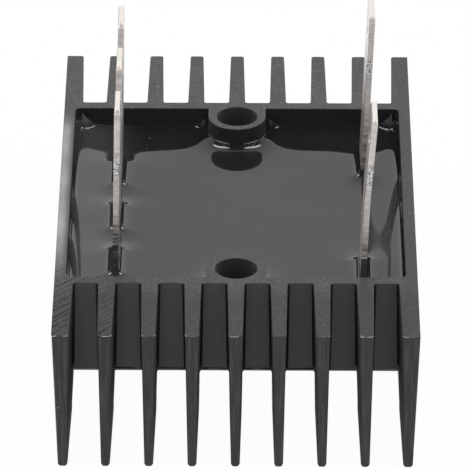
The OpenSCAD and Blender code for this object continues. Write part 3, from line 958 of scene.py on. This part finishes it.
def resin_mesh(look):
    """The potting resin as one closed body with a finely divided upper face."""
    work = merged_copy("potting_resin")
    skin = work.verts.layers.float.new("skin")
    border = work.edges.layers.int.new("border")
    top = [f for f in work.faces if f.normal.z > 0.99 and f.calc_center_median().z > RESIN_Z - 0.01 * MM]
    bmesh.ops.delete(work, geom=top, context="FACES_ONLY")
    rim = [e for e in work.edges if len(e.link_faces) == 1]
    split_long(work, rim, 0.17 * MM)
    rim = [e for e in work.edges if len(e.link_faces) == 1]
    loops = sorted(walk(rim), key=lambda loop: -max(abs(v.co.x) for v in loop))
    for vert in (v for loop in loops for v in loop):
        vert[skin] = 1.0
    inner = {v for loop in loops[1:] for v in loop}
    for edge in [e for e in work.edges if len(e.link_faces) == 1]:
        middle = (edge.verts[0].co + edge.verts[1].co) / 2
        if edge.verts[0] in inner:
            edge[border] = 4
        elif abs(middle.x) > 21.35 * MM:
            edge[border] = 1
        elif math.hypot(middle.x, abs(middle.y) - HOLE_Y) < 4.4 * MM:
            edge[border] = 3
        else:
            edge[border] = 2
    flat = [np.array([(v.co.x, v.co.y) for v in loop]) / MM for loop in loops]
    extra = filling(flat)
    points = np.concatenate(flat + [extra])
    joins = []
    start = 0
    for loop in flat:
        joins += [(start + i, start + (i + 1) % len(loop)) for i in range(len(loop))]
        start += len(loop)
    rows = [Vector((float(p[0]), float(p[1]))) for p in points]
    out_points, _, faces, origin, _, _ = geometry.delaunay_2d_cdt(rows, joins, [], 0, 1e-7)
    verts = [v for loop in loops for v in loop]
    for x, y in extra:
        verts.append(work.verts.new((x * MM, y * MM, RESIN_Z)))
        verts[-1][skin] = 1.0
    spots = np.array([(p.x, p.y) for p in out_points])
    middles = spots[np.array(faces)].mean(axis=1)
    held = inside(middles, flat[0])
    for loop in flat[1:]:
        held &= ~inside(middles, loop)
    for face, keep in zip(faces, held):
        if keep:
            new_face = work.faces.new([verts[origin[i][0]] for i in face])
            new_face.normal_update()
            if new_face.normal.z < 0:
                new_face.normal_flip()
            new_face.smooth = True
    mesh = bpy.data.meshes.new("resin_body")
    work.to_mesh(mesh)
    work.free()
    tree = make_level_tree()
    names = socket_ids(tree)
    values = {
        names["Steep rise"]: look.steep_rise,
        names["Creep"]: look.creep,
        names["Slow rise"]: look.slow_rise,
        names["Reach"]: look.reach,
        names["Corner rise"]: look.corner_rise,
        names["Corner reach"]: look.corner_reach,
        names["Wave height"]: look.wave_height,
        names["Wave length"]: look.wave_length,
        names["Seed"]: look.seed,
        names["Material"]: resin_material(look),
    }
    return baked("potting_resin_skin", mesh, [("NODES", {"node_group": tree}, values)])


def blade_mesh(node, look):
    """A blade with its sheared edges slightly rolled."""
    work = merged_copy(node)
    roll = work.faces.layers.float.new("edge_roll")
    sharp = []
    for edge in work.edges:
        if len(edge.link_faces) == 2 and edge.calc_face_angle_signed() > math.radians(30):
            sharp.append(edge)
    rolled = bmesh.ops.bevel(
        work,
        geom=sharp,
        offset=look.edge_radius,
        offset_type="OFFSET",
        segments=2,
        profile=0.5,
        affect="EDGES",
        clamp_overlap=True,
    )
    for face in rolled["faces"]:
        face[roll] = 1.0
    mesh = bpy.data.meshes.new(node + "_blade")
    work.to_mesh(mesh)
    work.free()
    return weighted_normals(mesh, 35.0)


# ---------------------------------------------------------------- operators


class RECTIFIER_OT_effects(bpy.types.Operator):
    """Build the shader node groups that the finishes share"""

    bl_idname = "rectifier.effects"
    bl_label = "Shared effects"

    def execute(self, context):
        make_surface_grain()
        make_edge_wear()
        make_dust_specks()
        make_fine_scratches()
        make_rib_marks()
        return {"FINISHED"}


class RECTIFIER_OT_casting(bpy.types.Operator):
    """Build the finned casting with worn edges and a milled rim"""

    bl_idname = "rectifier.casting"
    bl_label = "Finned casting"

    def execute(self, context):
        look = context.scene.rectifier_casting
        tree = make_knocks_tree()
        names = socket_ids(tree)
        values = {
            names["Depth"]: look.nick_depth,
            names["Length"]: look.nick_length,
            names["Share"]: 0.2,
            names["Seed"]: look.seed,
            names["Material"]: casting_material(look),
        }
        steps = [
            ("NODES", {"node_group": tree}, values),
            ("WEIGHTED_NORMAL", {"keep_sharp": True, "weight": 100}, {}),
        ]
        mesh = baked("finned_casting", casting_mesh(look), steps)
        finished("finned_casting", mesh, None, "cast_aluminium", "housing")
        return {"FINISHED"}


class RECTIFIER_OT_resin(bpy.types.Operator):
    """Build the potting resin with its creep up the walls and blades"""

    bl_idname = "rectifier.resin"
    bl_label = "Potting resin"

    def execute(self, context):
        mesh = resin_mesh(context.scene.rectifier_resin)
        finished("poured_resin", mesh, None, "potting_resin", "potting_resin")
        return {"FINISHED"}


class RECTIFIER_OT_blades(bpy.types.Operator):
    """Build the five tinned blade terminals"""

    bl_idname = "rectifier.blades"
    bl_label = "Blade terminals"

    def execute(self, context):
        look = context.scene.rectifier_blades
        material = blade_material(look)
        for node in BLADES:
            steps = [("WEIGHTED_NORMAL", {"keep_sharp": True, "weight": 100}, {})]
            mesh = baked(node + "_blade", blade_mesh(node, look), steps)
            finished(node + "_blade", mesh, material, "tinned_blade", node)
        return {"FINISHED"}


class RECTIFIER_OT_circuit(bpy.types.Operator):
    """Finish the ceramic plate, copper, chips and straps under the resin"""

    bl_idname = "rectifier.circuit"
    bl_label = "Buried circuit"

    def execute(self, context):
        look = context.scene.rectifier_circuit
        copper = circuit_material("rolled_copper", look.copper, 1.0, 0.28, 0.45, 5200.0)
        ceramic = circuit_material("fired_alumina", look.ceramic, 0.0, 0.45, 0.65, 9000.0)
        silicon = circuit_material("lapped_silicon", look.silicon, 0.8, 0.18, 0.30, 12000.0)
        for name, node in NODES.items():
            chosen = None
            if "diode" in name:
                chosen = silicon
            elif name == "ceramic_plate":
                chosen = ceramic
            elif "strap" in name or "pad" in name or "bus" in name:
                chosen = copper
            if chosen:
                for slot in node.material_slots:
                    slot.material = chosen
        return {"FINISHED"}


class RECTIFIER_OT_stage(bpy.types.Operator):
    """Set the pale floor, the soft light and the camera"""

    bl_idname = "rectifier.stage"
    bl_label = "Stage"

    def execute(self, context):
        look = context.scene.rectifier_stage
        scene = context.scene
        scene.view_settings.view_transform = "Standard"

        half = 2.0
        corners = [(-half, -half, 0.0), (half, -half, 0.0), (half, half, 0.0), (-half, half, 0.0)]
        mesh = bpy.data.meshes.new("floor")
        mesh.from_pydata([(x, y, BASE_Z) for x, y, z in corners], [], [(0, 1, 2, 3)])
        floor = bpy.data.objects.new("floor", mesh)
        scene.collection.objects.link(floor)
        material, tree, shader = new_material("pale_floor", {"Roughness": 0.9, "Specular IOR Level": 0.0})
        tone = effect(tree, "surface_grain", Fine=900.0, Coarse=90.0, Share=0.5)["Tone"]
        pale = rgba(look.floor)
        base = blend(tree, tone, shade(look.floor, 0.985), pale)
        tree.links.new(base, shader.inputs["Base Color"])
        path = add(tree, "ShaderNodeLightPath").outputs
        seen = sums(tree, "MAXIMUM", path["Is Camera Ray"], path["Is Glossy Ray"])
        seen = sums(tree, "MAXIMUM", seen, path["Is Transmission Ray"])
        white = add(tree, "ShaderNodeEmission", {"Color": (1, 1, 1, 1), "Strength": 1.0}).outputs[0]
        part = times(tree, seen, 0.97)
        mixed = add(tree, "ShaderNodeMixShader", {0: part, 1: shader.outputs[0], 2: white}).outputs[0]
        out = next(n for n in tree.nodes if n.type == "OUTPUT_MATERIAL")
        tree.links.new(mixed, out.inputs["Surface"])
        mesh.materials.append(material)

        world = bpy.data.worlds.new("soft_sky")
        scene.world = world
        world.use_nodes = True
        tree = world.node_tree
        tree.nodes.clear()
        path = add(tree, "ShaderNodeLightPath").outputs
        seen = sums(tree, "MAXIMUM", path["Is Camera Ray"], path["Is Glossy Ray"])
        seen = sums(tree, "MAXIMUM", seen, path["Is Transmission Ray"])
        level = mix(tree, seen, look.sky, 1.0)
        aim = add(tree, "ShaderNodeTexCoord").outputs["Generated"]
        aim = add(tree, "ShaderNodeSeparateXYZ", {0: aim}).outputs
        ceiling = times(tree, ramp(tree, aim[1], 0.27, 0.09), ramp(tree, aim[2], 0.35, 0.65))
        ceiling = times(tree, ceiling, path["Is Glossy Ray"])
        level = mix(tree, ceiling, level, look.ceiling)
        sky = add(tree, "ShaderNodeBackground", {"Color": (1, 1, 1, 1), "Strength": level}).outputs[0]
        out = add(tree, "ShaderNodeOutputWorld")
        tree.links.new(sky, out.inputs["Surface"])

        for name, side in (("lamp_left", -1.0), ("lamp_right", 1.0)):
            data = bpy.data.lights.new(name, "AREA")
            data.shape = "RECTANGLE"
            data.size = 0.19
            data.size_y = 0.55
            data.energy = look.lamp
            lamp = bpy.data.objects.new(name, data)
            away = Vector((side * 0.38, 0.08, 0.80))
            along = Vector((side * 0.45, 1.0, 0.0))
            across = along.cross(away).normalized()
            along = away.cross(across).normalized()
            lamp.matrix_world = Matrix.Translation(away) @ Matrix(
                (across, along, away.normalized())
            ).transposed().to_4x4()
            scene.collection.objects.link(lamp)

        data = bpy.data.cameras.new("camera")
        data.sensor_width = 36.0
        data.lens = look.lens
        data.clip_start = 0.05
        data.clip_end = 10.0
        camera = bpy.data.objects.new("camera", data)
        scene.collection.objects.link(camera)
        tilt = Matrix.Rotation(look.height - math.pi / 2, 3, "X")
        turn = Matrix.Rotation(look.turn, 3, "Z")
        roll = Matrix.Rotation(look.roll, 3, "Z")
        pose = roll @ tilt @ turn
        shift = roll @ Vector((look.aside, look.above, -look.distance))
        aim = Vector((0.0, 0.0, look.aim_height))
        camera.matrix_world = Matrix.Translation(aim - pose.transposed() @ shift) @ pose.transposed().to_4x4()
        scene.camera = camera
        return {"FINISHED"}


class RECTIFIER_PT_parts(bpy.types.Panel):
    """Lists the pieces of the rectifier"""

    bl_label = "Rectifier"
    bl_space_type = "VIEW_3D"
    bl_region_type = "UI"
    bl_category = "Rectifier"

    def draw(self, context):
        scene = context.scene
        for operator, looks in STEPS:
            box = self.layout.box()
            box.operator(operator)
            if looks:
                group = getattr(scene, looks)
                for item in group.bl_rna.properties:
                    if item.identifier not in ("rna_type", "name"):
                        box.prop(group, item.identifier)


STEPS = (
    ("rectifier.effects", ""),
    ("rectifier.casting", "rectifier_casting"),
    ("rectifier.resin", "rectifier_resin"),
    ("rectifier.blades", "rectifier_blades"),
    ("rectifier.circuit", "rectifier_circuit"),
    ("rectifier.stage", "rectifier_stage"),
)
LOOKS = (
    ("rectifier_casting", CastingLook),
    ("rectifier_resin", ResinLook),
    ("rectifier_blades", BladeLook),
    ("rectifier_circuit", CircuitLook),
    ("rectifier_stage", StageLook),
)
OPERATORS = (
    RECTIFIER_OT_effects,
    RECTIFIER_OT_casting,
    RECTIFIER_OT_resin,
    RECTIFIER_OT_blades,
    RECTIFIER_OT_circuit,
    RECTIFIER_OT_stage,
    RECTIFIER_PT_parts,
)


def register():
    """Registers the classes and hangs the sizes and colours on the scene."""
    for label, group in LOOKS:
        bpy.utils.register_class(group)
        setattr(bpy.types.Scene, label, PointerProperty(type=group))
    for item in OPERATORS:
        bpy.utils.register_class(item)


def unregister():
    """Takes everything off again."""
    for item in reversed(OPERATORS):
        bpy.utils.unregister_class(item)
    for label, group in reversed(LOOKS):
        delattr(bpy.types.Scene, label)
        bpy.utils.unregister_class(group)


def main():
    """Builds every piece in order."""
    register()
    for operator, _ in STEPS:
        family, name = operator.split(".")
        getattr(getattr(bpy.ops, family), name)()


if __name__ == "__main__":
    main()
